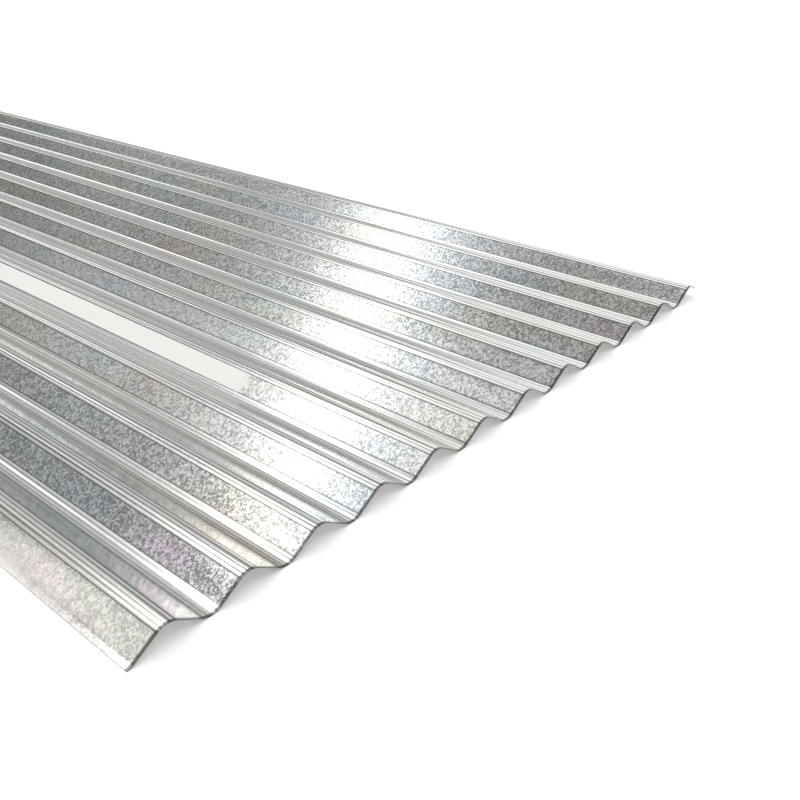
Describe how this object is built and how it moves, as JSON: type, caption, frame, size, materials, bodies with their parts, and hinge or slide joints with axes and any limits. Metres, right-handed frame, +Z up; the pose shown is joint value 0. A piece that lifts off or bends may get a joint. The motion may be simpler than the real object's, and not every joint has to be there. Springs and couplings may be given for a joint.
{
  "type": "corrugated metal sheet",
  "caption": "Galvanised corrugated roofing sheet with round crests and valleys and flat slopes, one long edge ending low and the other high for the side lap.",
  "frame": {"origin": "middle of the rectangle the sheet lies on, at the height of the valleys' undersides", "axes": "+Y along the waves, +X across them from the edge that ends low to the edge that ends high, +Z up out of the crests"},
  "size_m": [0.8898, 2.438, 0.0184],
  "materials": {
    "galvanised_steel": "hot-dip galvanised, fine spangle, semi-bright, with roll-forming lines along the bends"
  },
  "bodies": {
    "root": {"corrugated_sheet": "galvanised_steel"}
  },
  "joints": []
}
